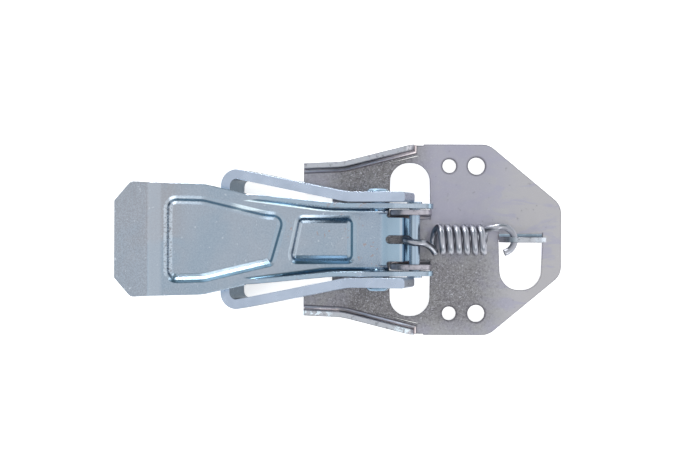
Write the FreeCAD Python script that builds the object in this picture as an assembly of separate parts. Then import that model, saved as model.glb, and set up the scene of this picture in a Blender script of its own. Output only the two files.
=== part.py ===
import FreeCAD, Part
import math
import os
from FreeCAD import Vector

# Trailer side latch: a folded back plate, an over-centre hand lever, a draw loop
# and the spring that holds the lever at either end of its swing.
# Frame: millimetres, +X towards the spring tab, +Z away from the panel, origin on
# the plate's back face straight below the pivot. The latch lies in its open state.

# Back plate
PLATE_THICKNESS = 2.5
PLATE_HALF_WIDTH = 44.6
PLATE_TAIL_X = 69.4
TAIL_HALF_WIDTH = 16.4
SHOULDER_X = 35.4
PLATE_CORNER_R = 8.5
ARM_END_X = -51.0
ARM_OUTER_Y = 35.2
ARM_KNEE_X = -33.0
ARM_KNEE_Y = 36.0
ARM_KNEE_R = 28.0
ARM_CORNER_R = 1.5
NOTCH_EDGE_X = -37.7
NOTCH_HALF_WIDTH = 23.5
FLANGE_HEIGHT = 10.0
FLANGE_END_X = 1.0
FLANGE_RUN_OUT = 8.0
FLANGE_SLOPE_RUN = 2.5
FLANGE_CORNER_R = 4.5
FLANGE_FOOT_R = 1.5
FLANGE_BEND_R = 2.2
LANCE_BEND_R = 2.0
SCREW_HOLE_D = 8.1
SCREW_HOLE_X = 29.7
SMALL_HOLE_D = 6.5
SMALL_HOLE_X = 17.0
HOLE_INSET = 10.1

# Pivot lugs, lanced from the plate
LUG_WIDTH = 19.3
LUG_CENTRE_X = -1.4
LUG_OUTER_Y = 13.7
LUG_SLOT_END_Y = 35.9
LUG_TAPER = 0.5
PIVOT_HEIGHT = 19.0
PIN_D = 5.0
RUNNING_FIT = 0.05
PIN_HEAD_D = 6.8
PIN_HEAD_THICKNESS = 0.9

# Spring tab, lanced from the plate
TAB_WIDTH = 20.9
TAB_CENTRE_X = 50.4
TAB_FACE_Y = -1.1
TAB_SLOT_END_Y = -23.5
TAB_TAPER = 1.0
TAB_HOLE_D = 8.4
TAB_HOLE_X = 48.1
TAB_HOLE_Z = 16.8

# Hand lever, drawn in its own frame: origin on the pivot axis, -X to the handle
LEVER_THICKNESS = 2.2
LEVER_OPEN_TILT = 12.5
WEB_DEPTH = 12.5
LEVER_BEND_R = 1.8
CHEEK_OUTER_Y = 16.3
LEVER_KNEE_X = -38.0
LEVER_KNEE_R = 60.0
WAIST_X = -75.5
WAIST_HALF = 20.7
HANDLE_X = -95.0
HANDLE_HALF = 24.9
HANDLE_CORNER_R = 22.0
TIP_BEND_X = -119.6
TIP_BEND_R = 9.0
TIP_END_X = -134.3
TIP_BEND_ANGLE = 22.0
TIP_HALF = 25.5
TIP_CHAMFER_X = 7.2
TIP_CHAMFER_Y = 8.6
TIP_CORNER_R = 1.0
TIP_SHOULDER_R = 3.0
PIVOT_EYE_R = 8.0
CHEEK_HEIGHT = 13.4
CHEEK_KNEE_X = -13.0
CHEEK_DROP_X = -27.0
CHEEK_FOOT_X = -7.5
CHEEK_FOOT_DEPTH = 8.4
CHEEK_FOOT_R = 2.0
CHEEK_KNEE_R = 9.0
CHEEK_DROP_R = 14.0
CHEEK_END_X = -73.5
CHEEK_END_R = 20.0
WEB_END_X = -10.4
WEB_CORNER_R = 1.0

# Lever tongue that takes the spring's hook
TONGUE_HALF = 10.2
TONGUE_END_HALF = 8.8
TONGUE_RISE_X = -13.0
TONGUE_CREST_X = -3.6
TONGUE_CREST_DEPTH = 5.4
TONGUE_END_X = 3.1
TONGUE_END_DEPTH = 9.85
TONGUE_FOOT_R = 5.0
TONGUE_CREST_R = 1.4
TONGUE_SHOULDER_R = 3.0
HOOK_SLOT_START_X = -10.8
HOOK_SLOT_END_X = 0.9
HOOK_SLOT_WIDTH = 3.8

# Sunk panels of the lever
PANEL_DEPTH = 2.4
PANEL_DRAFT = 2.2
PANEL_RIM_EASE = 0.9
LONG_PANEL_START_X = -111.5
LONG_PANEL_HALF = 18.9
LONG_PANEL_SHOULDER_X = -94.5
LONG_PANEL_WAIST_X = -67.0
LONG_PANEL_WAIST_HALF = 12.1
LONG_PANEL_TOP_X = -56.5
LONG_PANEL_FOOT_X = -63.0
LONG_PANEL_END_HALF = 11.3
LONG_PANEL_CORNER_R = 5.0
LONG_PANEL_BOW = 0.4
LONG_PANEL_SHOULDER_R = 14.0
LONG_PANEL_WAIST_R = 25.0
LONG_PANEL_FOOT_R = 3.4
SHORT_PANEL_TOP_X = -51.7
SHORT_PANEL_FOOT_X = -56.1
SHORT_PANEL_END_X = -25.1
SHORT_PANEL_HALF = 10.4
SHORT_PANEL_CORNER_R = 3.4

# Draw loop, drawn in its own frame: origin on its rivet axis, -X to the cross bar
LOOP_BAR_HEIGHT = 19.2
LOOP_BAR_THICKNESS = 4.4
LOOP_OPEN_DROOP = 16.9
LOOP_LENGTH = 71.5
LOOP_HEEL = 14.9
LOOP_HEEL_R = 1.2
LOOP_LEG_OUTER_Y = 21.2
LOOP_KNEE_X = -11.3
LOOP_KNEE_R = 30.0
LOOP_END_OUTER_Y = 33.4
LOOP_CORNER_R = 7.5
LOOP_EDGE_CHAMFER = 1.1

# Loop rivets, placed in the lever's frame
RIVET_X = -19.1
RIVET_Z = 7.2
RIVET_D = 6.0
RIVET_HEAD_D = 10.0
RIVET_HEAD_THICKNESS = 1.5
RIVET_PEEN_D = 6.8
RIVET_PEEN_THICKNESS = 1.3
HEAD_RIM_SHARE = 0.4
HEAD_FLAT_SHARE = 0.8

# Extension spring
WIRE_D = 3.1
COIL_MEAN_R = 5.7
COIL_TURNS = 6.5
COIL_PITCH = 3.7
COIL_RIGHT_X = 33.4
COIL_END_BULGE = 1.4
COIL_BULGE_TURNS = 0.5
COIL_TILT = 6.0
COIL_STEPS = 12
WIRE_SIDES = 8
HOOK_R = 6.1
HOOK_TIP_ANGLE = -76.0
HOOK_ENTRY_ANGLE = 108.0
HOOK_STEPS = 6
ARM_OVER_PIN = 0.15
ARM_BEND = 1.5
ARM_SWEEP = 0.66
ARM_LANDING_X = 3.0
ARM_OFFSET_Y = -1.4
HOOK_LEG_DROP = 10.1
HOOK_CURL_R = 3.6
HOOK_CURL_WRAP = 150.0
HOOK_SEAT_GAP = 0.3

# Shared modelling allowances: how far a fold's flat laps onto the sheet beside it,
# how far a fold is run past the outline that trims it, how far a bore is run past the
# sheets it goes through, how full a round end is and the tightest corner of an inset
FOLD_LAP = 0.6
FOLD_OVERRUN = 5.0
BORE_OVERRUN = 1.0
ROUND_END = 0.97
TIGHTEST_R = 0.4
RIGHT_ANGLE = 90.0
SAME_PLACE = 1e-3
NO_LENGTH = 1e-6
Y_AXIS = Vector(0, 1, 0)


def turn_at(before, corner, after):
    """Signed turn in radians at a corner of a flat path, positive to the left."""
    ahead = math.atan2(after[1] - corner[1], after[0] - corner[0])
    behind = math.atan2(corner[1] - before[1], corner[0] - before[0])
    return math.remainder(ahead - behind, 2 * math.pi)


def step_towards(start, goal, distance):
    """Point at a distance from start on the way to goal."""
    length = math.dist(start[:2], goal[:2])
    return (start[0] + (goal[0] - start[0]) * distance / length,
            start[1] + (goal[1] - start[1]) * distance / length)


def past_end(knee, end):
    """Point a little beyond the end of a fold line, on the same line."""
    reach = math.dist(knee, end) + FOLD_OVERRUN
    return step_towards(knee, end, reach) + (0,)


def level_with(start, stop, x):
    """Corner where the line from start to stop crosses x."""
    share = (x - start[0]) / (stop[0] - start[0])
    return (x, start[1] + share * (stop[1] - start[1]), 0)


def rounded_path(points, closed):
    """Runs and tangent arcs of a flat path whose corners are (x, y, radius)."""
    count = len(points)
    pieces = []
    corners = range(count) if closed else range(1, count - 1)
    ends = {}
    for index in corners:
        before = points[index - 1]
        corner = points[index]
        after = points[(index + 1) % count]
        turn = turn_at(before, corner, after)
        cut = corner[2] * math.tan(abs(turn) / 2)
        entry = step_towards(corner, before, cut)
        leave = step_towards(corner, after, cut)
        ends[index] = (entry, leave, corner[2], turn)
    for index in range(count if closed else count - 1):
        follower = (index + 1) % count
        start = ends[index][1] if index in ends else points[index][:2]
        stop = ends[follower][0] if follower in ends else points[follower][:2]
        if math.dist(start, stop) > NO_LENGTH:
            pieces.append(("run", start, stop))
        if follower in ends and ends[follower][2] > NO_LENGTH:
            entry, leave, radius, turn = ends[follower]
            pieces.append(("arc", entry, leave, radius, turn, points[follower][:2]))
    return pieces


def arc_centre(piece):
    """Centre of an arc piece: square to the path at its entry."""
    entry, radius, turn, corner = piece[1], piece[3], piece[4], piece[5]
    heading = math.atan2(corner[1] - entry[1], corner[0] - entry[0])
    side = heading + math.copysign(math.pi / 2, turn)
    return (entry[0] + radius * math.cos(side), entry[1] + radius * math.sin(side))


def piece_edge(piece, place):
    """Edge of one run or arc, with place mapping a flat point into space."""
    if piece[0] == "run":
        return Part.LineSegment(place(piece[1]), place(piece[2])).toShape()
    centre = arc_centre(piece)
    middle_angle = math.atan2(piece[5][1] - centre[1], piece[5][0] - centre[0])
    middle = (centre[0] + piece[3] * math.cos(middle_angle),
              centre[1] + piece[3] * math.sin(middle_angle))
    return Part.Arc(place(piece[1]), place(middle), place(piece[2])).toShape()


def on_level(z):
    """Maps flat (x, y) to the level z."""
    return lambda point: Vector(point[0], point[1], z)


def on_side(y):
    """Maps flat (x, z) to the plane at y."""
    return lambda point: Vector(point[0], y, point[1])


def on_end(x):
    """Maps flat (y, z) to the plane at x."""
    return lambda point: Vector(x, point[0], point[1])


def outline_wire(points, place):
    """Closed wire of a rounded outline."""
    edges = [piece_edge(piece, place) for piece in rounded_path(points, True)]
    return Part.Wire(edges)


def slab(points, bottom, top):
    """Solid of a plan outline between two levels."""
    face = Part.Face(outline_wire(points, on_level(bottom)))
    return face.extrude(Vector(0, 0, top - bottom))


def side_slab(points, low_y, high_y):
    """Solid of a side outline between two values of y."""
    face = Part.Face(outline_wire(points, on_side(low_y)))
    return face.extrude(Vector(0, high_y - low_y, 0))


def offset_path(points, distance):
    """Open path moved to its left by a distance, its radii kept concentric."""
    moved = []
    count = len(points)
    for index, point in enumerate(points):
        ahead = points[min(index + 1, count - 1)]
        behind = points[max(index - 1, 0)]
        if index == 0 or index == count - 1:
            heading = math.atan2(ahead[1] - behind[1], ahead[0] - behind[0])
            reach, radius = distance, point[2]
            normal = heading + math.pi / 2
        else:
            turn = turn_at(behind, point, ahead)
            heading = math.atan2(point[1] - behind[1], point[0] - behind[0])
            normal = heading + turn / 2 + math.pi / 2
            reach = distance / math.cos(turn / 2)
            radius = max(point[2] - distance * math.copysign(1, turn), 0.0)
        moved.append((point[0] + reach * math.cos(normal),
                      point[1] + reach * math.sin(normal), radius))
    return moved


def strip_outline(points, thickness):
    """Outline of a strip between an open path and its offset to the left."""
    return points + offset_path(points, thickness)[::-1]


def inset_outline(points, distance):
    """Outline listed anticlockwise, moved inwards, its radii kept concentric."""
    ring = [points[-1]] + points + [points[0]]
    moved = offset_path(ring, distance)[1:-1]
    return [(x, y, max(radius, TIGHTEST_R)) for x, y, radius in moved]


def mirrored(points):
    """The same outline on the other side of the centre line, listed backwards."""
    return [(x, -y, radius) for x, y, radius in reversed(points)]


def fused(shapes):
    """One clean solid of several that touch."""
    whole = shapes[0].fuse(shapes[1:]).removeSplitter()
    return whole.Solids[0] if len(whole.Solids) == 1 else whole


def mirror_y(shape):
    """Copy of a shape on the other side of the centre line."""
    return shape.mirror(Vector(0, 0, 0), Y_AXIS)


def cylinder_y(radius, start_y, length, x, z):
    """Cylinder along Y, its length signed."""
    if length < 0:
        start_y, length = start_y + length, -length
    return Part.makeCylinder(radius, length, Vector(x, start_y, z), Y_AXIS)


def bend_section(thickness, bend_radius, height, stub):
    """Section of a right-angle fold: (distance in from the outer face, height)."""
    outer_radius = bend_radius + thickness
    return [(0, height, 0), (0, 0, outer_radius), (outer_radius + stub, 0, 0),
            (outer_radius + stub, thickness, 0), (thickness, thickness, bend_radius),
            (thickness, height, 0)]


def folded_edge(section, path, base_z):
    """A folded section swept along a plan path with its outer face on the path."""
    solids = []
    for piece in rounded_path(path, False):
        start = piece[1]
        goal = piece[2] if piece[0] == "run" else piece[5]
        heading = math.atan2(goal[1] - start[1], goal[0] - start[0])
        inward = (math.sin(heading), -math.cos(heading))

        def place(point):
            return Vector(start[0] + inward[0] * point[0],
                          start[1] + inward[1] * point[0], base_z + point[1])
        face = Part.Face(outline_wire(section, place))
        if piece[0] == "run":
            solids.append(face.extrude(Vector(goal[0] - start[0], goal[1] - start[1], 0)))
        else:
            centre = arc_centre(piece)
            turn = math.degrees(piece[4])
            axis = Vector(0, 0, math.copysign(1, turn))
            solids.append(face.revolve(Vector(centre[0], centre[1], 0), axis, abs(turn)))
    return fused(solids)


def lanced_upstand(blank_length, profile, thickness, bend_radius):
    """An upstand folded from a lanced blank, its fold along X at y = 0, facing -Y.

    The profile lists (x, distance from the fold line) of the blank's outline.
    """
    centre_height = thickness + bend_radius
    allowance = math.pi / 2 * (bend_radius + thickness / 2)
    height = blank_length - allowance + centre_height
    section = bend_section(thickness, bend_radius, height, 0)
    low_x = min(point[0] for point in profile)
    high_x = max(point[0] for point in profile)
    reach = thickness + bend_radius
    flat = [(y - reach, z, r) for y, z, r in section]
    wall = Part.Face(outline_wire(flat, on_end(low_x))).extrude(
        Vector(high_x - low_x, 0, 0))
    lift = height - blank_length
    risen = [(x, distance + lift, r) for x, distance, r in profile]
    return wall.common(side_slab(risen, -reach, 0))


def lance_outline(centre_x, width, length, taper):
    """Blank of a lanced upstand: (x, distance from the fold line, radius)."""
    half = width / 2
    end_half = half - taper
    radius = end_half * ROUND_END
    overlap = FOLD_OVERRUN + PLATE_THICKNESS
    return [(centre_x - half, -overlap, 0), (centre_x + half, -overlap, 0),
            (centre_x + end_half, length, radius), (centre_x - end_half, length, radius)]


def arm_fold_path():
    """Outer face of the arm's flange in plan, from beyond the arm's end to the side."""
    return [past_end((ARM_KNEE_X, ARM_KNEE_Y), (ARM_END_X, ARM_OUTER_Y)),
            (ARM_KNEE_X, ARM_KNEE_Y, ARM_KNEE_R),
            (FLANGE_END_X, PLATE_HALF_WIDTH, FLANGE_RUN_OUT),
            (FLANGE_END_X + FLANGE_RUN_OUT, PLATE_HALF_WIDTH, 0)]


def plate_outline():
    """Flat blank of the plate, its arms trimmed where their flanges fold up."""
    trim = PLATE_THICKNESS + FLANGE_BEND_R + FOLD_LAP / 2
    fold = offset_path(arm_fold_path(), -trim)
    side_start_x = FLANGE_END_X + FLANGE_RUN_OUT / 2
    upper = [(NOTCH_EDGE_X, NOTCH_HALF_WIDTH, ARM_CORNER_R),
             (ARM_END_X, NOTCH_HALF_WIDTH, ARM_CORNER_R),
             level_with(fold[0], fold[1], ARM_END_X),
             fold[1],
             (side_start_x, fold[2][1], 0),
             (side_start_x, PLATE_HALF_WIDTH, 0),
             (SHOULDER_X, PLATE_HALF_WIDTH, PLATE_CORNER_R),
             (PLATE_TAIL_X, TAIL_HALF_WIDTH, PLATE_CORNER_R)]
    return upper + mirrored(upper)


def arm_flange():
    """Folded flange of the upper arm, its far end run down to the plate."""
    section = bend_section(PLATE_THICKNESS, FLANGE_BEND_R, FLANGE_HEIGHT, FOLD_LAP)
    wall = folded_edge(section, arm_fold_path(), 0)
    run_out = [(ARM_END_X, 0, 0), (FLANGE_END_X + FLANGE_RUN_OUT, 0, 0),
               (FLANGE_END_X + FLANGE_RUN_OUT, PLATE_THICKNESS, 0),
               (FLANGE_END_X, PLATE_THICKNESS, FLANGE_FOOT_R),
               (FLANGE_END_X - FLANGE_SLOPE_RUN, FLANGE_HEIGHT, FLANGE_CORNER_R),
               (ARM_END_X, FLANGE_HEIGHT, ARM_CORNER_R)]
    return wall.common(side_slab(run_out, 0, 2 * PLATE_HALF_WIDTH))


def build_base_plate():
    """The plate with its folded arms, two pivot lugs and the spring tab."""
    thickness = PLATE_THICKNESS
    reach = thickness + LANCE_BEND_R
    plate = slab(plate_outline(), 0, thickness)
    hole_row_y = PLATE_HALF_WIDTH - HOLE_INSET
    for y in (-hole_row_y, hole_row_y):
        for x, diameter in ((SCREW_HOLE_X, SCREW_HOLE_D), (SMALL_HOLE_X, SMALL_HOLE_D)):
            plate = plate.cut(Part.makeCylinder(diameter / 2, thickness, Vector(x, y, 0)))

    lug_fold_y = LUG_OUTER_Y - reach
    lug_length = LUG_SLOT_END_Y - lug_fold_y
    lug_blank = lance_outline(LUG_CENTRE_X, LUG_WIDTH, lug_length, LUG_TAPER)
    lug = lanced_upstand(lug_length, lug_blank, thickness, LANCE_BEND_R)
    lug = lug.mirror(Vector(0, 0, 0), Y_AXIS)
    lug.translate(Vector(0, lug_fold_y, 0))
    lug_opening = slab(opening_from(lug_blank, 1, lug_fold_y), 0, thickness)

    tab_fold_y = TAB_FACE_Y + reach
    tab_length = tab_fold_y - TAB_SLOT_END_Y
    tab_blank = lance_outline(TAB_CENTRE_X, TAB_WIDTH, tab_length, TAB_TAPER)
    tab = lanced_upstand(tab_length, tab_blank, thickness, LANCE_BEND_R)
    tab.translate(Vector(0, tab_fold_y, 0))
    tab_opening = slab(opening_from(tab_blank, -1, tab_fold_y), 0, thickness)

    plate = plate.cut([lug_opening, mirror_y(lug_opening), tab_opening])
    flange = arm_flange()
    plate = fused([plate, flange, mirror_y(flange), lug, mirror_y(lug), tab])
    bore_end = LUG_OUTER_Y + BORE_OVERRUN
    pivot_bore = cylinder_y(PIN_D / 2 + RUNNING_FIT, -bore_end, 2 * bore_end, 0, PIVOT_HEIGHT)
    hook_bore = cylinder_y(TAB_HOLE_D / 2, TAB_FACE_Y - BORE_OVERRUN,
                           thickness + 2 * BORE_OVERRUN, TAB_HOLE_X, TAB_HOLE_Z)
    return plate.cut([pivot_bore, hook_bore])


def opening_from(blank, side, fold_y):
    """Plan outline of the window that a lanced blank leaves in the plate."""
    outline = [(blank[0][0], fold_y, 0), (blank[1][0], fold_y, 0)]
    outline += [(x, fold_y + side * distance, r) for x, distance, r in blank[2:]]
    return outline


def lever_fold_path():
    """Outer face of the lever's upper cheek in plan, from the waist to the pivot."""
    return [past_end((LEVER_KNEE_X, CHEEK_OUTER_Y), (WAIST_X, WAIST_HALF)),
            (LEVER_KNEE_X, CHEEK_OUTER_Y, LEVER_KNEE_R),
            (PIVOT_EYE_R + FOLD_OVERRUN, CHEEK_OUTER_Y, 0)]


def lever_plan():
    """Plan of the web, handle and tongue, trimmed where the cheeks fold up."""
    trim = LEVER_THICKNESS + LEVER_BEND_R + FOLD_LAP / 2
    fold = offset_path(lever_fold_path(), -trim)
    upper = [(TIP_END_X, TIP_HALF - TIP_CHAMFER_Y, TIP_CORNER_R),
             (TIP_END_X + TIP_CHAMFER_X, TIP_HALF, TIP_SHOULDER_R),
             (HANDLE_X, HANDLE_HALF, HANDLE_CORNER_R),
             (WAIST_X, WAIST_HALF, 0),
             level_with(fold[0], fold[1], WAIST_X),
             fold[1],
             (WEB_END_X, fold[2][1], 0),
             (WEB_END_X, TONGUE_HALF, WEB_CORNER_R),
             (TONGUE_CREST_X, TONGUE_HALF, TONGUE_SHOULDER_R),
             (TONGUE_END_X + LEVER_THICKNESS, TONGUE_END_HALF, 0)]
    return upper + mirrored(upper)


def web_side():
    """Side section of the sheet from the bent tip to the curled tongue."""
    tip_rise = math.tan(math.radians(TIP_BEND_ANGLE)) * (TIP_BEND_X - TIP_END_X)
    top = [(TIP_END_X, -WEB_DEPTH + tip_rise, 0),
           (TIP_BEND_X, -WEB_DEPTH, TIP_BEND_R),
           (TONGUE_RISE_X, -WEB_DEPTH, TONGUE_FOOT_R),
           (TONGUE_CREST_X, -TONGUE_CREST_DEPTH, TONGUE_CREST_R + LEVER_THICKNESS),
           (TONGUE_END_X, -TONGUE_END_DEPTH, 0)]
    return strip_outline(top, -LEVER_THICKNESS)


def cheek_side():
    """Side outline of a cheek: the pivot eye, the rivet shoulder and the long taper."""
    under = -WEB_DEPTH - LEVER_THICKNESS
    return [(WAIST_X, under, 0), (WEB_END_X, under, WEB_CORNER_R),
            (CHEEK_FOOT_X, -CHEEK_FOOT_DEPTH, CHEEK_FOOT_R),
            (PIVOT_EYE_R, -PIVOT_EYE_R, ROUND_END * PIVOT_EYE_R),
            (PIVOT_EYE_R, PIVOT_EYE_R, ROUND_END * PIVOT_EYE_R),
            (CHEEK_KNEE_X, CHEEK_HEIGHT, CHEEK_KNEE_R),
            (CHEEK_DROP_X, CHEEK_HEIGHT, CHEEK_DROP_R),
            (CHEEK_END_X, -WEB_DEPTH, CHEEK_END_R), (WAIST_X, -WEB_DEPTH, 0)]


def edges_at(shape, level):
    """Edges of a shape that lie in one level plane."""
    return [edge for edge in shape.Edges
            if edge.BoundBox.ZLength < SAME_PLACE
            and abs(edge.CenterOfMass.z - level) < SAME_PLACE]


def rim_of(shape, pocket, level):
    """Edges of a shape where a pocket breaks through one level plane."""
    rim = [edge.CenterOfMass for edge in edges_at(pocket, level)]
    return [edge for edge in edges_at(shape, level)
            if any(edge.CenterOfMass.distanceToPoint(point) < SAME_PLACE for point in rim)]


def drawn_panel(outline):
    """Solid to add below the web and pocket to cut from it for one sunk panel."""
    top = -WEB_DEPTH
    floor = top - PANEL_DEPTH
    inner = inset_outline(outline, PANEL_DRAFT)
    spread = LEVER_THICKNESS * math.tan(math.atan2(PANEL_DRAFT, PANEL_DEPTH) / 2)
    outer_rim = inset_outline(outline, -spread)
    outer_floor = inset_outline(inner, -spread)
    pocket = Part.makeLoft([outline_wire(outline, on_level(top)),
                            outline_wire(inner, on_level(floor))], True, True)
    pocket = pocket.makeChamfer(PANEL_RIM_EASE, edges_at(pocket, floor))
    under = top - LEVER_THICKNESS
    bulge = Part.makeLoft([outline_wire(outer_rim, on_level(under)),
                           outline_wire(outer_floor, on_level(under - PANEL_DEPTH))],
                          True, True)
    return bulge, pocket


def long_panel():
    """Outline of the handle's panel, anticlockwise from its lower corner."""
    return [(LONG_PANEL_START_X, -LONG_PANEL_HALF, LONG_PANEL_CORNER_R),
            (LONG_PANEL_SHOULDER_X, LONG_PANEL_BOW - LONG_PANEL_HALF, LONG_PANEL_SHOULDER_R),
            (LONG_PANEL_WAIST_X, -LONG_PANEL_WAIST_HALF, LONG_PANEL_WAIST_R),
            (LONG_PANEL_FOOT_X, -LONG_PANEL_END_HALF, LONG_PANEL_FOOT_R),
            (LONG_PANEL_TOP_X, LONG_PANEL_END_HALF, LONG_PANEL_CORNER_R),
            (LONG_PANEL_WAIST_X, LONG_PANEL_WAIST_HALF, LONG_PANEL_WAIST_R),
            (LONG_PANEL_SHOULDER_X, LONG_PANEL_HALF - LONG_PANEL_BOW, LONG_PANEL_SHOULDER_R),
            (LONG_PANEL_START_X, LONG_PANEL_HALF, LONG_PANEL_CORNER_R)]


def short_panel():
    """Outline of the small panel between the cheeks, anticlockwise."""
    return [(SHORT_PANEL_FOOT_X, -SHORT_PANEL_HALF, SHORT_PANEL_CORNER_R),
            (SHORT_PANEL_END_X, -SHORT_PANEL_HALF, SHORT_PANEL_CORNER_R),
            (SHORT_PANEL_END_X, SHORT_PANEL_HALF, SHORT_PANEL_CORNER_R),
            (SHORT_PANEL_TOP_X, SHORT_PANEL_HALF, SHORT_PANEL_CORNER_R)]


def build_lever():
    """The pressed hand lever, in its own frame."""
    height = CHEEK_HEIGHT + WEB_DEPTH + LEVER_THICKNESS + PANEL_DEPTH
    sheet = side_slab(web_side(), -TIP_HALF, TIP_HALF)
    sheet = sheet.common(slab(lever_plan(), -WEB_DEPTH - height, height))
    section = bend_section(LEVER_THICKNESS, LEVER_BEND_R,
                           CHEEK_HEIGHT + WEB_DEPTH + LEVER_THICKNESS, FOLD_LAP)
    cheek = folded_edge(section, lever_fold_path(), -WEB_DEPTH - LEVER_THICKNESS)
    cheek = cheek.common(side_slab(cheek_side(), 0, TIP_HALF))
    lever = fused([sheet, cheek, mirror_y(cheek)])
    for outline in (long_panel(), short_panel()):
        bulge, pocket = drawn_panel(outline)
        lever = fused([lever, bulge]).cut(pocket)
        lever = lever.makeChamfer(PANEL_RIM_EASE, rim_of(lever, pocket, -WEB_DEPTH))
    half_slot = HOOK_SLOT_WIDTH / 2
    slot = slab([(HOOK_SLOT_START_X, -half_slot, half_slot * ROUND_END),
                 (HOOK_SLOT_END_X, -half_slot, half_slot * ROUND_END),
                 (HOOK_SLOT_END_X, half_slot, half_slot * ROUND_END),
                 (HOOK_SLOT_START_X, half_slot, half_slot * ROUND_END)], -height, 0)
    pivot_bore = cylinder_y(PIN_D / 2 + RUNNING_FIT, -TIP_HALF, 2 * TIP_HALF, 0, 0)
    rivet_bore = cylinder_y(RIVET_D / 2, -TIP_HALF, 2 * TIP_HALF, RIVET_X, RIVET_Z)
    lever = lever.cut([slot, pivot_bore, rivet_bore])
    return lever.removeSplitter().Solids[0]


def build_loop():
    """The draw loop of flat bar bent on edge, in its own frame."""
    half = LOOP_BAR_HEIGHT / 2
    outer_half = [(LOOP_HEEL, LOOP_LEG_OUTER_Y, LOOP_HEEL_R),
                  (LOOP_KNEE_X, LOOP_LEG_OUTER_Y, LOOP_KNEE_R),
                  (-LOOP_LENGTH, LOOP_END_OUTER_Y, LOOP_CORNER_R)]
    path = outer_half + mirrored(outer_half)
    bar = slab(strip_outline(path, LOOP_BAR_THICKNESS), -half, half)
    before_heel = LOOP_HEEL - LOOP_HEEL_R
    under = [edge for edge in edges_at(bar, -half) if edge.CenterOfMass.x < before_heel]
    bar = bar.makeChamfer(LOOP_EDGE_CHAMFER, under)
    bore = cylinder_y(RIVET_D / 2 + RUNNING_FIT, -LOOP_END_OUTER_Y,
                      2 * LOOP_END_OUTER_Y, 0, 0)
    return bar.cut(bore)


def flat_face(corners):
    """Plane face between corners."""
    return Part.Face(Part.makePolygon(list(corners) + [corners[0]]))


def eased_head(inner_y, diameter, thickness):
    """Round head on its flat inner face, its thickness signed along Y, its rim sloped."""
    radius = diameter / 2
    outline = [(0, inner_y), (radius, inner_y),
               (radius, inner_y + thickness * HEAD_RIM_SHARE),
               (radius * HEAD_FLAT_SHARE, inner_y + thickness), (0, inner_y + thickness)]
    face = flat_face([Vector(x, y, 0) for x, y in outline])
    return face.revolve(Vector(0, 0, 0), Y_AXIS, 4 * RIGHT_ANGLE)


def headed_pin(shank_d, start_y, stop_y, heads):
    """A pin along Y joined with its heads."""
    shank = cylinder_y(shank_d / 2, start_y, stop_y - start_y, 0, 0)
    return fused([shank] + heads)


def build_pivot_pin():
    """The pin through lugs and cheeks, with a flat head at both ends."""
    seat = CHEEK_OUTER_Y + RUNNING_FIT
    upper = cylinder_y(PIN_HEAD_D / 2, seat, PIN_HEAD_THICKNESS, 0, 0)
    return headed_pin(PIN_D, -seat, seat, [upper, mirror_y(upper)])


def build_loop_rivet():
    """The upper loop rivet: a head outside the leg, a peened end inside the cheek."""
    head_y = LOOP_LEG_OUTER_Y + RUNNING_FIT
    cheek_inner = CHEEK_OUTER_Y - LEVER_THICKNESS
    return headed_pin(RIVET_D, cheek_inner, head_y,
                      [eased_head(head_y, RIVET_HEAD_D, RIVET_HEAD_THICKNESS),
                       eased_head(cheek_inner, RIVET_PEEN_D, -RIVET_PEEN_THICKNESS)])


def arc_points(centre, radius, start, stop, steps):
    """Flat points along an arc, angles in degrees, both ends included."""
    angles = [math.radians(start + (stop - start) * step / steps) for step in range(steps + 1)]
    return [(centre[0] + radius * math.cos(angle), centre[1] + radius * math.sin(angle))
            for angle in angles]


def coil_axis_z(x):
    """Height of the coil's axis, which rises from the tab towards the pivot."""
    return TAB_HOLE_Z + (COIL_RIGHT_X - x) * math.tan(math.radians(COIL_TILT))


def spring_points():
    """Centre line of the wire: tab hook, coil, arm over the pin, hook in the tongue."""
    seat_x = TAB_HOLE_X + (WIRE_D - TAB_HOLE_D) / 2 + HOOK_SEAT_GAP
    hook_centre = (seat_x - HOOK_R, (TAB_FACE_Y + PLATE_THICKNESS / 2) / 2)
    points = [Vector(x, y, TAB_HOLE_Z)
              for x, y in arc_points(hook_centre, HOOK_R, HOOK_TIP_ANGLE,
                                     HOOK_ENTRY_ANGLE, HOOK_STEPS)]
    for step in range(1, int(COIL_TURNS * COIL_STEPS) + 1):
        angle = 2 * math.pi * step / COIL_STEPS
        x = COIL_RIGHT_X - COIL_PITCH * step / COIL_STEPS
        if step > (COIL_TURNS - COIL_BULGE_TURNS) * COIL_STEPS:
            x -= COIL_END_BULGE * math.sin(angle)
        points.append(Vector(x, COIL_MEAN_R * math.cos(angle),
                             coil_axis_z(x) - COIL_MEAN_R * math.sin(angle)))
    points += arm_points(points[-1])
    return points


def arm_points(coil_end):
    """The arm from the coil's last turn over the pin and down through the tongue."""
    wrap = (PIN_D + WIRE_D) / 2 + ARM_OVER_PIN
    crest = PIVOT_HEIGHT + wrap
    start = Vector(coil_end.x - ARM_BEND, coil_end.y * ARM_SWEEP, coil_end.z + ARM_BEND / 2)
    stop = Vector(ARM_LANDING_X, ARM_OFFSET_Y, crest)
    points = [start, (start + stop) * 0.5 - Vector(0, ARM_OFFSET_Y / 3, 0), stop]
    over_pin = arc_points((0, PIVOT_HEIGHT), wrap, RIGHT_ANGLE, 2 * RIGHT_ANGLE, HOOK_STEPS)
    points += [Vector(x, ARM_OFFSET_Y * (1 - index / HOOK_STEPS), z)
               for index, (x, z) in enumerate(over_pin)]
    curl_z = PIVOT_HEIGHT - HOOK_LEG_DROP
    curl = arc_points((HOOK_CURL_R - wrap, curl_z), HOOK_CURL_R, 2 * RIGHT_ANGLE,
                      2 * RIGHT_ANGLE + HOOK_CURL_WRAP, HOOK_STEPS)
    return points + [Vector(x, 0, z) for x, z in curl]


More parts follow.
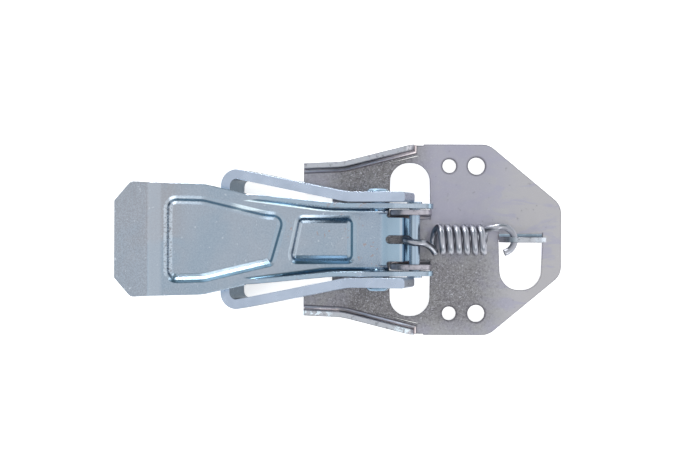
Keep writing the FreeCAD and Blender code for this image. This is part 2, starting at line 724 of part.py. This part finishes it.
def wire_ring(centre, heading, reference):
    """Corners of the wire's section square to its heading, and the next reference."""
    across = heading.cross(reference).normalize()
    upward = across.cross(heading).normalize()
    ring = []
    for side in range(WIRE_SIDES):
        angle = 2 * math.pi * side / WIRE_SIDES
        ring.append(centre + (across * math.cos(angle) + upward * math.sin(angle)) * (WIRE_D / 2))
    return ring, upward


def build_spring():
    """The extension spring as one wire skinned through sections along its line."""
    points = spring_points()
    rings = []
    reference = Vector(0, 0, 1)
    for index, point in enumerate(points):
        ahead = points[min(index + 1, len(points) - 1)]
        behind = points[max(index - 1, 0)]
        ring, reference = wire_ring(point, (ahead - behind).normalize(), reference)
        rings.append(ring)
    skin = [flat_face(rings[0]), flat_face(rings[-1])]
    for near, far in zip(rings, rings[1:]):
        for side in range(WIRE_SIDES):
            after = (side + 1) % WIRE_SIDES
            skin.append(flat_face((near[side], near[after], far[after])))
            skin.append(flat_face((near[side], far[after], far[side])))
    shell = Part.makeShell(skin)
    shell.sewShape()
    return Part.makeSolid(Part.makeShell(shell.Faces))


def place_on_pivot(shape, tilt):
    """Turns a shape about the pivot axis by the lever's tilt and lifts it there."""
    placed = shape.copy()
    placed.rotate(Vector(0, 0, 0), Y_AXIS, tilt)
    placed.translate(Vector(0, 0, PIVOT_HEIGHT))
    return placed


def rivet_point():
    """The loop rivets' axis in the open latch."""
    tilt = math.radians(LEVER_OPEN_TILT)
    return Vector(RIVET_X * math.cos(tilt) + RIVET_Z * math.sin(tilt), 0,
                  PIVOT_HEIGHT - RIVET_X * math.sin(tilt) + RIVET_Z * math.cos(tilt))


def place_on_rivet(shape, tilt):
    """Turns a shape about the rivet axis and moves it there."""
    placed = shape.copy()
    placed.rotate(Vector(0, 0, 0), Y_AXIS, tilt)
    placed.translate(rivet_point())
    return placed


def main():
    pin = build_pivot_pin()
    pin.translate(Vector(0, 0, PIVOT_HEIGHT))
    rivet = place_on_rivet(build_loop_rivet(), LEVER_OPEN_TILT)
    parts = {
        "base_plate": build_base_plate(),
        "lever": place_on_pivot(build_lever(), LEVER_OPEN_TILT),
        "loop": place_on_rivet(build_loop(), -LOOP_OPEN_DROOP),
        "pivot_pin": pin,
        "loop_rivet_upper": rivet,
        "loop_rivet_lower": mirror_y(rivet),
        "spring": build_spring(),
    }
    os.makedirs("parts", exist_ok=True)
    for name, shape in parts.items():
        shape.exportStep("parts/" + name + ".step")
        box = shape.BoundBox
        print(name, "solids", len(shape.Solids), "valid", shape.isValid(),
              "volume", round(shape.Volume, 1),
              "x", round(box.XMin, 2), round(box.XMax, 2),
              "y", round(box.YMin, 2), round(box.YMax, 2),
              "z", round(box.ZMin, 2), round(box.ZMax, 2))
    return parts


main()
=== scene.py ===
import math

import bpy
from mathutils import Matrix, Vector


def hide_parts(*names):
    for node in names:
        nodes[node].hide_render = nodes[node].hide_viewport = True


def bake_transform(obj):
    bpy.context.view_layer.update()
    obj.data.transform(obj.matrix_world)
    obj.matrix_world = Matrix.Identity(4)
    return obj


MM = 0.001
SHARP_ANGLE = math.radians(20)
WELD_REACH = 1e-6
RELIEF_HEIGHT = 0.0001
LEVER_TILT = math.radians(12.5)
LOOP_DROOP = math.radians(16.9)
UP = (0.0, 0.0, 1.0)
TO_TAIL = (1.0, 0.0, 0.0)
TO_TIP = (-1.0, 0.0, 0.0)
TO_UPPER_SIDE = (0.0, 1.0, 0.0)
TO_LOWER_SIDE = (0.0, -1.0, 0.0)
WEB_LEVEL = 0.00605
WEB_FACING = (math.sin(LEVER_TILT), 0.0, math.cos(LEVER_TILT))
LOOP_TOP_FACING = (-math.sin(LOOP_DROOP), 0.0, math.cos(LOOP_DROOP))
LOOP_END_FACING = (math.cos(LOOP_DROOP), 0.0, math.sin(LOOP_DROOP))
BOLT_HOLES = (((0.0297, 0.0345), 0.00405), ((0.0297, -0.0345), 0.00405),
              ((0.017, 0.0345), 0.00325), ((0.017, -0.0345), 0.00325))

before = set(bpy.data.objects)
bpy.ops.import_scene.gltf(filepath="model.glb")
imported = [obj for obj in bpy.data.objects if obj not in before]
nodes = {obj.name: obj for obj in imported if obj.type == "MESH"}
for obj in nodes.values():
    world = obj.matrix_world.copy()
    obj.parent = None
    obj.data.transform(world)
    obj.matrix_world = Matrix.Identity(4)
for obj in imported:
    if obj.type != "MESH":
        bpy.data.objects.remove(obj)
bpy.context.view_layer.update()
scene = bpy.context.scene
scene.view_settings.view_transform = "Standard"


# Camera: straight down on the open latch, as in the photograph
camera_data = bpy.data.cameras.new("photo_camera")
camera_data.lens = 65.65
camera_data.sensor_width = 36.0
camera_data.clip_start = 0.01
camera_data.clip_end = 20.0
camera = bpy.data.objects.new("photo_camera", camera_data)
camera.location = (-29.4 * MM, 2.75 * MM, 600 * MM)
camera.rotation_euler = (0, 0, math.radians(0.2))
scene.collection.objects.link(camera)
scene.camera = camera


def link(tree, source, target):
    tree.links.new(source, target)


def add_node(tree, kind, **settings):
    """New shader node with its properties and unlinked inputs set by name."""
    made = tree.nodes.new(kind)
    for name, value in settings.items():
        if name in made.inputs:
            made.inputs[name].default_value = value
        else:
            setattr(made, name, value)
    return made


def noise(tree, vector, scale, detail=2.0, roughness=0.5, distortion=0.0):
    made = add_node(tree, "ShaderNodeTexNoise")
    made.inputs["Scale"].default_value = scale
    made.inputs["Detail"].default_value = detail
    made.inputs["Roughness"].default_value = roughness
    made.inputs["Distortion"].default_value = distortion
    link(tree, vector, made.inputs["Vector"])
    return made.outputs["Fac"]


def stretched(tree, vector, scale):
    mapping = add_node(tree, "ShaderNodeMapping")
    mapping.inputs["Scale"].default_value = scale
    link(tree, vector, mapping.inputs["Vector"])
    return mapping.outputs["Vector"]


def remap(tree, value, low, high, to_low=0.0, to_high=1.0):
    """Smooth step from one range of values to another."""
    made = add_node(tree, "ShaderNodeMapRange")
    made.interpolation_type = "SMOOTHSTEP"
    made.inputs["From Min"].default_value = low
    made.inputs["From Max"].default_value = high
    made.inputs["To Min"].default_value = to_low
    made.inputs["To Max"].default_value = to_high
    link(tree, value, made.inputs["Value"])
    return made.outputs["Result"]


def maths(tree, operation, first, second):
    made = add_node(tree, "ShaderNodeMath")
    made.operation = operation
    for socket, value in zip(made.inputs, (first, second)):
        if isinstance(value, (int, float)):
            socket.default_value = value
        else:
            link(tree, value, socket)
    return made.outputs["Value"]


def mixed(tree, share, first, second):
    """Colour mix; share and colours may be values or sockets."""
    made = add_node(tree, "ShaderNodeMix")
    made.data_type = "RGBA"
    for name, value in (("Factor_Float", share), ("A_Color", first), ("B_Color", second)):
        socket = next(s for s in made.inputs if s.identifier == name)
        if isinstance(value, bpy.types.NodeSocket):
            link(tree, value, socket)
        else:
            socket.default_value = value
    return next(s for s in made.outputs if s.identifier == "Result_Color")


def times(tree, first, *others):
    """Product of masks and numbers."""
    for other in others:
        first = maths(tree, "MULTIPLY", first, other)
    return first


def srgb(red, green, blue):
    """Linear colour of an sRGB one given as 0 to 255."""
    def linear(level):
        level /= 255
        return level / 12.92 if level <= 0.04045 else ((level + 0.055) / 1.055) ** 2.4
    return (linear(red), linear(green), linear(blue), 1.0)


def paint(tree, colour, mask, levels, share=1.0):
    """Lays an sRGB colour over another one where a mask is set."""
    if share != 1.0:
        mask = times(tree, mask, share)
    return mixed(tree, mask, colour, srgb(*levels))


def dot(tree, first, direction):
    """Dot product of a vector socket with another one or with a fixed direction."""
    product = add_node(tree, "ShaderNodeVectorMath", operation="DOT_PRODUCT")
    link(tree, first, product.inputs[0])
    if isinstance(direction, bpy.types.NodeSocket):
        link(tree, direction, product.inputs[1])
    else:
        product.inputs[1].default_value = direction
    return product.outputs["Value"]


def coordinates(tree, vector):
    parts = add_node(tree, "ShaderNodeSeparateXYZ")
    link(tree, vector, parts.inputs["Vector"])
    return parts.outputs["X"], parts.outputs["Y"], parts.outputs["Z"]


def start_material(name):
    material = bpy.data.materials.new(name)
    material.use_nodes = True
    tree = material.node_tree
    shader = tree.nodes["Principled BSDF"]
    place = add_node(tree, "ShaderNodeTexCoord").outputs["Object"]
    return material, tree, shader, place


def finish(tree, shader, colour, roughness, height, strength, edge_radius):
    """Plated metal: colour, roughness and fine relief over edges that are rounded in shading."""
    link(tree, colour, shader.inputs["Base Color"])
    link(tree, roughness, shader.inputs["Roughness"])
    shader.inputs["Metallic"].default_value = 1.0
    bevel = add_node(tree, "ShaderNodeBevel", samples=6)
    if isinstance(edge_radius, bpy.types.NodeSocket):
        link(tree, edge_radius, bevel.inputs["Radius"])
    else:
        bevel.inputs["Radius"].default_value = edge_radius
    bump = add_node(tree, "ShaderNodeBump")
    bump.inputs["Strength"].default_value = strength
    bump.inputs["Distance"].default_value = RELIEF_HEIGHT
    link(tree, height, bump.inputs["Height"])
    link(tree, bevel.outputs["Normal"], bump.inputs["Normal"])
    link(tree, bump.outputs["Normal"], shader.inputs["Normal"])


def facing(tree, direction, low, high):
    """How far a face is turned to a direction of the resting latch, from 0 to 1."""
    turned = add_node(tree, "ShaderNodeTexCoord").outputs["Normal"]
    return remap(tree, dot(tree, turned, direction), low, high)


def edge_shade_mask(tree, radius, reach):
    """1 along sharp edges, fading to 0 on flat faces."""
    rounded = add_node(tree, "ShaderNodeBevel", samples=6)
    rounded.inputs["Radius"].default_value = radius
    true_normal = add_node(tree, "ShaderNodeNewGeometry").outputs["Normal"]
    return remap(tree, dot(tree, rounded.outputs["Normal"], true_normal), 0.995, reach)


def hole_rim(tree, place, centre, radius, width):
    """1 at a hole's edge, fading to 0 over a width around it."""
    flat = add_node(tree, "ShaderNodeVectorMath", operation="MULTIPLY")
    link(tree, place, flat.inputs[0])
    flat.inputs[1].default_value = (1.0, 1.0, 0.0)
    reach = add_node(tree, "ShaderNodeVectorMath", operation="DISTANCE")
    link(tree, flat.outputs["Vector"], reach.inputs[0])
    reach.inputs[1].default_value = (*centre, 0.0)
    return remap(tree, reach.outputs["Value"], radius + width, radius)


def band(tree, value, low, high, soft):
    """1 between low and high, fading to 0 over a soft margin."""
    rising = remap(tree, value, low - soft, low)
    falling = remap(tree, value, high, high + soft, 1.0, 0.0)
    return times(tree, rising, falling)


def plate_material():
    """Dull grey zinc with a fine grain, darker low on the plate and at the arms."""
    material, tree, shader, place = start_material("plate_zinc_finish")
    along, across, up = coordinates(tree, place)
    cloud = noise(tree, place, 26, 3.0, 0.55, 0.5)
    low_side = times(tree, remap(tree, across, 0.006, -0.014), remap(tree, along, 0.024, 0.05, 1.0, 0.0),
                     remap(tree, across, -0.034, -0.044, 1.0, 0.35))
    arms = times(tree, remap(tree, along, 0.012, -0.010), remap(tree, along, -0.044, -0.024, 0.35, 1.0))
    dark = times(tree, maths(tree, "MAXIMUM", times(tree, low_side, 0.8), arms),
                 remap(tree, up, 0.006, 0.003, 0.0, 1.0), remap(tree, cloud, 0.3, 0.6, 0.75, 1.1))
    tinted = remap(tree, noise(tree, stretched(tree, place, (60, 110, 60)), 1.0, 4.0, 0.6, 0.8), 0.42, 0.58)
    colour = mixed(tree, tinted, srgb(180, 179, 192), srgb(186, 186, 190))
    violet = times(tree, band(tree, along, 0.008, 0.03, 0.016), remap(tree, across, 0.0, 0.012))
    colour = paint(tree, colour, violet, (170, 168, 184), 0.6)
    colour = paint(tree, colour, remap(tree, along, 0.032, 0.056), (190, 188, 191))
    patches = remap(tree, noise(tree, stretched(tree, place, (55, 130, 60)), 1.0, 4.0, 0.62, 1.0), 0.5, 0.6)
    patches = times(tree, patches, remap(tree, along, 0.028, 0.045))
    colour = paint(tree, colour, patches, (176, 175, 194), 0.6)
    colour = paint(tree, colour, dark, (128, 126, 127))

    # Zinc grain: light flakes and dark mottling, with painted glints, stronger where the plate is dark
    flakes = times(tree, remap(tree, noise(tree, place, 1700, 2.0, 0.6), 0.48, 0.7),
                   maths(tree, "ADD", times(tree, dark, 0.42), 0.12))
    colour = paint(tree, colour, flakes, (206, 206, 214))
    mottle = times(tree, remap(tree, noise(tree, place, 760, 3.0, 0.65), 0.48, 0.64), dark)
    colour = paint(tree, colour, mottle, (88, 84, 90), 0.55)
    # Painted glints: small bright dots
    painted_glints = times(tree, remap(tree, noise(tree, place, 880, 2.0, 0.5), 0.64, 0.71),
                   maths(tree, "ADD", times(tree, dark, 0.42), 0.06))
    colour = paint(tree, colour, painted_glints, (230, 232, 242))
    pits = remap(tree, noise(tree, place, 520, 1.0, 0.4), 0.7, 0.8)
    colour = paint(tree, colour, pits, (120, 118, 124), 0.35)
    # Painted shade: a dark ring around each bolt hole
    for centre, radius in BOLT_HOLES:
        colour = paint(tree, colour, hole_rim(tree, place, centre, radius, 0.0012), (84, 82, 90), 0.7)

    # Folds: painted shade as a dark line where each bend starts, and a painted highlight on the inner bend
    above_face = remap(tree, up, 0.0015, 0.0024)
    at_arms = times(tree, above_face, remap(tree, along, 0.01, 0.0))
    at_tab = times(tree, above_face, remap(tree, along, 0.036, 0.039))
    # Painted shade along the crease where each bend starts
    painted_crease_shade = times(tree, facing(tree, UP, 0.9999, 0.998), facing(tree, UP, 0.95, 0.97))
    colour = paint(tree, colour, times(tree, painted_crease_shade, at_arms), (88, 84, 90), 0.7)
    # Painted highlight on the inner bends at the arms and at the tab
    painted_fold_highlight = times(tree, facing(tree, UP, 0.96, 0.93), facing(tree, UP, 0.3, 0.45))
    colour = paint(tree, colour, times(tree, painted_fold_highlight, at_arms), (250, 236, 236))
    colour = paint(tree, colour, times(tree, painted_fold_highlight, at_tab), (206, 220, 234))

    # Flanges, lugs and tab, which stand above the sheet
    raised = remap(tree, up, 0.004, 0.007)
    colour = paint(tree, colour, raised, (190, 194, 201), 0.8)
    lugs = times(tree, raised, remap(tree, along, 0.013, 0.011), band(tree, across, -0.0145, 0.0145, 0.0005))
    colour = paint(tree, colour, lugs, (186, 182, 190))
    scuffs = times(tree, remap(tree, noise(tree, place, 480, 3.0, 0.7), 0.56, 0.66), raised)
    colour = paint(tree, colour, scuffs, (116, 118, 126), 0.6)
    flange_ends = maths(tree, "MAXIMUM", remap(tree, along, -0.034, -0.042),
                        remap(tree, along, -0.012, -0.006))
    # Painted highlight spots on the lower flange ends
    painted_highlight_spots = times(tree, remap(tree, noise(tree, place, 420, 3.0, 0.7), 0.5, 0.54),
                  remap(tree, across, -0.02, -0.024), raised, flange_ends)
    colour = paint(tree, colour, painted_highlight_spots, (232, 244, 252))
    # Painted shade: a dark outline along the plate's sharp edges
    colour = paint(tree, colour, edge_shade_mask(tree, 0.0009, 0.8), (84, 84, 92), 0.8)
    roughness = remap(tree, noise(tree, place, 260, 3.0, 0.6), 0.3, 0.7, 0.3, 0.4)
    finish(tree, shader, colour, roughness, noise(tree, place, 900, 3.0, 0.65), 0.3, 0.0006)
    return material


def lever_material():
    """Bright bluish zinc, greyer at the tip, with faint drawing lines and rust flecks."""
    material, tree, shader, place = start_material("lever_zinc_finish")
    along, across, _ = coordinates(tree, place)
    cloud = noise(tree, place, 34, 3.0, 0.55, 0.6)
    colour = mixed(tree, remap(tree, cloud, 0.35, 0.65), srgb(155, 171, 186), srgb(165, 175, 187))
    tip = times(tree, remap(tree, along, -0.1, -0.112), remap(tree, cloud, 0.4, 0.55))
    colour = paint(tree, colour, tip, (166, 169, 176))
    # Painted shade on the tip beyond its fold, and a painted highlight just inside the fold
    colour = paint(tree, colour, remap(tree, along, -0.1188, -0.12), (132, 135, 142), 0.75)
    colour = paint(tree, colour, band(tree, along, -0.1182, -0.1145, 0.0016), (184, 192, 203), 0.6)
    colour = paint(tree, colour, band(tree, along, -0.024, -0.013, 0.002), (156, 172, 190), 0.6)
    tongue_width = band(tree, across, -0.0102, 0.0102, 0.0003)
    # Painted highlight: the tongue lighter than the web
    tongue = times(tree, remap(tree, along, -0.013, -0.011), tongue_width)
    colour = paint(tree, colour, tongue, (180, 194, 208))

    # Drawing lines, frosting, painted glints as small bright dots, and rust flecks
    lines = noise(tree, stretched(tree, place, (900, 26, 26)), 1.0, 2.0, 0.6)
    colour = paint(tree, colour, remap(tree, lines, 0.5, 0.8, 0.0, 0.12), (150, 168, 186))
    frost = remap(tree, noise(tree, place, 1600, 2.0, 0.6), 0.36, 0.64, 0.0, 0.24)
    colour = paint(tree, colour, frost, (190, 200, 212))
    # Painted glints: small bright dots
    glint_specks = remap(tree, noise(tree, place, 620, 2.0, 0.5), 0.66, 0.74)
    colour = paint(tree, colour, glint_specks, (222, 228, 236), 0.35)
    # Painted shade on the tongue's curled end
    painted_curl_shade = times(tree, band(tree, along, -0.0052, 0.002, 0.0004), tongue_width)
    colour = paint(tree, colour, painted_curl_shade, (96, 142, 176), 0.75)
    flecks = times(tree, remap(tree, noise(tree, place, 420, 3.0, 0.65), 0.6, 0.65),
                   remap(tree, noise(tree, place, 90, 1.0, 0.4), 0.52, 0.6),
                   band(tree, along, -0.056, -0.013, 0.003))
    colour = paint(tree, colour, flecks, (176, 142, 126), 0.5)
    colour = paint(tree, colour, facing(tree, WEB_FACING, 0.96, 0.8), (150, 178, 198), 0.7)

    # Panel walls and the upper cheek's bend: painted highlights on the left walls and the bend, painted
    # shade on the right walls and upper rims
    in_panels = times(tree, remap(tree, along, -0.1135, -0.1125), remap(tree, along, -0.022, -0.0235))
    left_walls = times(tree, facing(tree, TO_TAIL, 0.45, 0.65), in_panels)
    # Painted highlight on the left walls
    colour = paint(tree, colour, left_walls, (200, 210, 221), 0.7)
    crusted = times(tree, remap(tree, noise(tree, place, 1100, 3.0, 0.7), 0.5, 0.6), left_walls,
                    remap(tree, along, -0.108, -0.1095))
    colour = paint(tree, colour, crusted, (84, 74, 74), 0.6)
    # Painted shade on the right walls
    right_wall_shade = times(tree, facing(tree, TO_TIP, 0.12, 0.4), in_panels,
                        band(tree, across, -0.0118, 0.0118, 0.0004))
    colour = paint(tree, colour, right_wall_shade, (124, 156, 178))
    near_web = remap(tree, dot(tree, place, WEB_FACING), WEB_LEVEL - 0.0009, WEB_LEVEL - 0.0005)
    # Painted shade along the upper rims of the panels
    rim = times(tree, facing(tree, TO_UPPER_SIDE, 0.3, 0.36), in_panels, near_web,
                remap(tree, across, -0.009, -0.0105))
    colour = paint(tree, colour, rim, (80, 112, 132), 0.8)
    # Painted highlight on the upper cheek's bend
    bend = times(tree, facing(tree, TO_LOWER_SIDE, 0.1, 0.25), facing(tree, TO_LOWER_SIDE, 0.85, 0.7),
                 band(tree, along, -0.078, -0.03, 0.006), remap(tree, across, 0.0125, 0.0135))
    colour = paint(tree, colour, bend, (222, 238, 246))
    roughness = remap(tree, noise(tree, place, 120, 3.0, 0.6), 0.3, 0.7, 0.19, 0.26)
    edge_radius = maths(tree, "ADD", times(tree, in_panels, 0.0004), 0.0004)
    finish(tree, shader, colour, roughness, noise(tree, place, 520, 3.0, 0.6), 0.12, edge_radius)
    return material


def bar_material(name, colour_a, colour_b, low, high, relief, end_and_inside_colours=None):
    """Plated bar, pin or wire stock with soft mottling; on the loop, lighter end faces and painted shade on
    the inner faces at its far end.
    """
    material, tree, shader, place = start_material(name)
    cloud = noise(tree, place, 60, 3.0, 0.55, 0.4)
    colour = mixed(tree, remap(tree, cloud, 0.35, 0.65), srgb(*colour_a), srgb(*colour_b))
    lines = noise(tree, stretched(tree, place, (60, 700, 700)), 1.0, 2.0, 0.6)
    colour = paint(tree, colour, remap(tree, lines, 0.5, 0.8, 0.0, 0.15), (150, 166, 182))
    if end_and_inside_colours:
        end_colour, inside_colour = end_and_inside_colours
        colour = paint(tree, colour, facing(tree, LOOP_END_FACING, 0.8, 0.95), end_colour)
        along, _, _ = coordinates(tree, place)
        # Painted shade on the inner faces at the loop's far end
        inside = times(tree, facing(tree, LOOP_TOP_FACING, 0.6, 0.4), remap(tree, along, -0.055, -0.062))
        colour = paint(tree, colour, inside, inside_colour)
    roughness = remap(tree, noise(tree, place, 300, 3.0, 0.6), 0.3, 0.7, low, high)
    finish(tree, shader, colour, roughness, noise(tree, place, 700, 3.0, 0.6), relief, 0.0004)
    return material


def smooth_curves():
    """Node tree that shades curved faces smooth and leaves real edges sharp."""
    tree = bpy.data.node_groups.new("smooth_curves", "GeometryNodeTree")
    tree.interface.new_socket("Geometry", in_out="INPUT", socket_type="NodeSocketGeometry")
    tree.interface.new_socket("Geometry", in_out="OUTPUT", socket_type="NodeSocketGeometry")
    start = tree.nodes.new("NodeGroupInput")
    stop = tree.nodes.new("NodeGroupOutput")
    angle = tree.nodes.new("GeometryNodeInputMeshEdgeAngle")
    sharp = tree.nodes.new("FunctionNodeCompare")
    sharp.operation = "GREATER_THAN"
    sharp.inputs["B"].default_value = SHARP_ANGLE
    tree.links.new(angle.outputs["Unsigned Angle"], sharp.inputs["A"])
    faces = tree.nodes.new("GeometryNodeSetShadeSmooth")
    edges = tree.nodes.new("GeometryNodeSetShadeSmooth")
    edges.domain = "EDGE"
    edges.inputs["Shade Smooth"].default_value = False
    tree.links.new(start.outputs[0], faces.inputs["Geometry"])
    tree.links.new(faces.outputs["Geometry"], edges.inputs["Geometry"])
    tree.links.new(sharp.outputs["Result"], edges.inputs["Selection"])
    tree.links.new(edges.outputs["Geometry"], stop.inputs[0])
    return tree


def dress(node, material):
    """Gives a CAD node its finish and smooth shading across its curved faces."""
    piece = nodes[node]
    piece.data.materials.clear()
    piece.data.materials.append(material)
    if "custom_normal" in piece.data.attributes:
        piece.data.attributes.remove(piece.data.attributes["custom_normal"])
    weld = piece.modifiers.new("weld", "WELD")
    weld.merge_threshold = WELD_REACH
    smooth = piece.modifiers.new("smooth", "NODES")
    smooth.node_group = smooth_tree


# Spring: one smooth round wire along the same line as the solid, in millimetres
WIRE_R = 1.55
PIN_R = 2.5
PIN_Z = 19.0
TAB_Y = 0.075
TAB_HOLE_X, TAB_HOLE_Z, TAB_HOLE_R = 48.1, 16.8, 4.2
HOOK_R = 6.1
HOOK_SEAT_GAP = 0.3
HOOK_CENTRE_X = TAB_HOLE_X + WIRE_R - TAB_HOLE_R + HOOK_SEAT_GAP - HOOK_R
COIL_R = 5.7
COIL_TURNS = 6.5
COIL_STEPS = 36
COIL_PITCH = 3.7
COIL_RIGHT = 33.4
COIL_TILT = math.radians(6.0)
COIL_BULGE = 1.4
ARM_OVER_PIN = 0.15
ARM_WRAP = PIN_R + WIRE_R + ARM_OVER_PIN
ARM_Y = -1.4
CURL_R = 3.6
HOOK_LEG_DROP = 10.1


def arc(centre, radius, start, stop, steps):
    angles = [math.radians(start + (stop - start) * step / steps) for step in range(steps + 1)]
    return [(centre[0] + radius * math.cos(a), centre[1] + radius * math.sin(a)) for a in angles]


def spring_line():
    """Centre line of the wire: tab hook, coil, arm over the pin, tongue hook."""
    line = [Vector((x, y, TAB_HOLE_Z))
            for x, y in arc((HOOK_CENTRE_X, TAB_Y), HOOK_R, -76, 108, 12)]
    for step in range(3, int(COIL_TURNS * COIL_STEPS) + 1):
        angle = 2 * math.pi * step / COIL_STEPS
        x = COIL_RIGHT - COIL_PITCH * step / COIL_STEPS
        if step > (COIL_TURNS - 0.5) * COIL_STEPS:
            x -= COIL_BULGE * math.sin(angle)
        z = TAB_HOLE_Z + (COIL_RIGHT - x) * math.tan(COIL_TILT)
        line.append(Vector((x, COIL_R * math.cos(angle), z - COIL_R * math.sin(angle))))
    end = line[-1]
    start = Vector((end.x - 1.5, end.y * 0.66, end.z + 0.75))
    stop = Vector((3.0, ARM_Y, PIN_Z + ARM_WRAP))
    line += [start, (start + stop) * 0.5 - Vector((0, ARM_Y / 3, 0)), stop]
    over = arc((0, PIN_Z), ARM_WRAP, 90, 180, 8)
    line += [Vector((x, ARM_Y * (1 - i / 8), z)) for i, (x, z) in enumerate(over)]
    line += [Vector((x, 0, z))
             for x, z in arc((CURL_R - ARM_WRAP, PIN_Z - HOOK_LEG_DROP), CURL_R, 180, 330, 12)]
    return line


def smooth_line(points, per_span):
    """Points of a spline through the given points, closer together."""
    padded = [points[0] * 2 - points[1]] + points + [points[-1] * 2 - points[-2]]
    fine = []
    for index in range(1, len(padded) - 2):
        before, here, there, beyond = padded[index - 1:index + 3]
        for step in range(per_span):
            t = step / per_span
            fine.append(0.5 * (2 * here + (there - before) * t
                               + (2 * before - 5 * here + 4 * there - beyond) * t * t
                               + (3 * here - before - 3 * there + beyond) * t ** 3))
    return fine + [points[-1]]


def wire_mesh(name, points, radius, sides):
    """Closed round wire along points, its ends slightly rounded off."""
    verts, faces = [], []
    upward = Vector((0, 0, 1))
    count = len(points)
    rings = []
    for index, point in enumerate(points):
        heading = (points[min(index + 1, count - 1)] - points[max(index - 1, 0)]).normalized()
        across = heading.cross(upward).normalized()
        upward = across.cross(heading).normalized()
        rings.append((point, heading, across, upward, radius))
    first, last = rings[0], rings[-1]
    for back, share in ((0.12, 0.86), (0.2, 0.6)):
        rings.insert(0, (first[0] - first[1] * back, *first[1:4], radius * share))
        rings.append((last[0] + last[1] * back, *last[1:4], radius * share))
    for point, heading, across, up, size in rings:
        for side in range(sides):
            angle = 2 * math.pi * side / sides
            verts.append((point + (across * math.cos(angle) + up * math.sin(angle)) * size) * MM)
    for row in range(len(rings) - 1):
        for side in range(sides):
            a = row * sides + side
            b = row * sides + (side + 1) % sides
            faces.append((a, b, b + sides, a + sides))
    faces.append(tuple(range(sides))[::-1])
    faces.append(tuple(range((len(rings) - 1) * sides, len(rings) * sides)))
    mesh = bpy.data.meshes.new(name)
    mesh.from_pydata([tuple(v) for v in verts], [], faces)
    mesh.polygons.foreach_set("use_smooth", [True] * (len(faces) - 2) + [False] * 2)
    made = bpy.data.objects.new(name, mesh)
    scene.collection.objects.link(made)
    return made


smooth_tree = smooth_curves()
pin_finish = bar_material("pin_zinc_finish", (164, 182, 200), (178, 190, 204), 0.16, 0.24, 0.08)
dress("base_plate", plate_material())
dress("lever", lever_material())
dress("loop", bar_material("bar_zinc_finish", (184, 196, 214), (174, 186, 204), 0.26, 0.34,
                           0.15, ((200, 208, 219), (88, 104, 118))))
dress("pivot_pin", pin_finish)
rivet_finish = bar_material("rivet_zinc_finish", (126, 152, 174), (142, 162, 180), 0.2, 0.28, 0.08)
for name in ("loop_rivet_upper", "loop_rivet_lower"):
    dress(name, rivet_finish)
wire_finish = bar_material("spring_wire_finish", (172, 173, 181), (184, 185, 192), 0.28, 0.36, 0.04)
spring = wire_mesh("spring_wire", smooth_line(spring_line(), 2), WIRE_R, 18)
spring.data.materials.append(wire_finish)
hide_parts("spring")
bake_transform(spring)


# Floor, light and surroundings
def stage_floor():
    mesh = bpy.data.meshes.new("floor")
    size, level = 3.0, -0.0005
    corners = [(-size, -size, level), (size, -size, level), (size, size, level), (-size, size, level)]
    mesh.from_pydata(corners, [], [(0, 1, 2, 3)])
    floor = bpy.data.objects.new("floor", mesh)
    scene.collection.objects.link(floor)
    material = bpy.data.materials.new("floor_white")
    material.use_nodes = True
    tree = material.node_tree
    shader = tree.nodes["Principled BSDF"]
    shader.inputs["Base Color"].default_value = (0.9, 0.9, 0.9, 1)
    shader.inputs["Roughness"].default_value = 0.9
    shader.inputs["Specular IOR Level"].default_value = 0.1
    shader.inputs["Emission Color"].default_value = (1, 1, 1, 1)
    rays = add_node(tree, "ShaderNodeLightPath")
    seen = maths(tree, "MAXIMUM", rays.outputs["Is Camera Ray"], rays.outputs["Is Glossy Ray"])
    seen = maths(tree, "MAXIMUM", seen, rays.outputs["Is Transmission Ray"])
    link(tree, maths(tree, "MULTIPLY", seen, 0.7), shader.inputs["Emission Strength"])
    mesh.materials.append(material)


def softbox(name, place, target, width, height, power, colour=(1, 1, 1)):
    data = bpy.data.lights.new(name, "AREA")
    data.shape = "RECTANGLE"
    data.size, data.size_y = width, height
    data.energy = power
    data.color = colour
    lamp = bpy.data.objects.new(name, data)
    lamp.location = place
    lamp.rotation_euler = (Vector(target) - Vector(place)).to_track_quat("-Z", "Y").to_euler()
    scene.collection.objects.link(lamp)


def glow(tree, direction, towards, spread, strength):
    """Soft patch of light on the surroundings about one direction, or a dim one below 0."""
    nearness = dot(tree, direction, Vector(towards).normalized())
    return remap(tree, nearness, math.cos(math.radians(spread)), 1.0, 0.0, strength)


def surroundings():
    """World light: bright overhead and from the tail's side, bluer where it is dim."""
    world = bpy.data.worlds.new("studio")
    scene.world = world
    world.use_nodes = True
    tree = world.node_tree
    background = tree.nodes["Background"]
    direction = add_node(tree, "ShaderNodeTexCoord").outputs["Generated"]
    _, _, elevation = coordinates(tree, direction)
    level = remap(tree, elevation, 0.15, 0.7, 0.3, 0.95)
    for towards, spread, strength in (((1.0, 0.0, 0.2), 55, 0.5), ((-0.55, 0.0, 0.83), 35, 0.12),
                                      ((0.25, 0.85, 0.5), 50, -0.75), ((-1.0, 0.1, 0.25), 45, -0.15)):
        level = maths(tree, "ADD", level, glow(tree, direction, towards, spread, strength))
    level = maths(tree, "MAXIMUM", level, 0.24)
    link(tree, level, background.inputs["Strength"])
    tint = mixed(tree, remap(tree, level, 0.15, 0.8), (0.62, 0.88, 1.0, 1.0), (0.97, 0.985, 1.0, 1.0))
    link(tree, tint, background.inputs["Color"])


stage_floor()
surroundings()
middle = (-0.03, 0.0, 0.0)
softbox("front", (0.38, -0.67, 0.55), middle, 0.46, 0.33, 1.3, (0.95, 0.98, 1.0))
softbox("card", (-0.058, 0.4, 0.38), (-0.09, 0.0, 0.02), 0.145, 0.16, 0.22)
softbox("low_card", (-0.1, 0.3, 0.07), (-0.09, -0.01, 0.03), 0.12, 0.07, 0.5)
softbox("corner", (0.51, 0.54, 0.48), middle, 0.19, 0.19, 0.35)
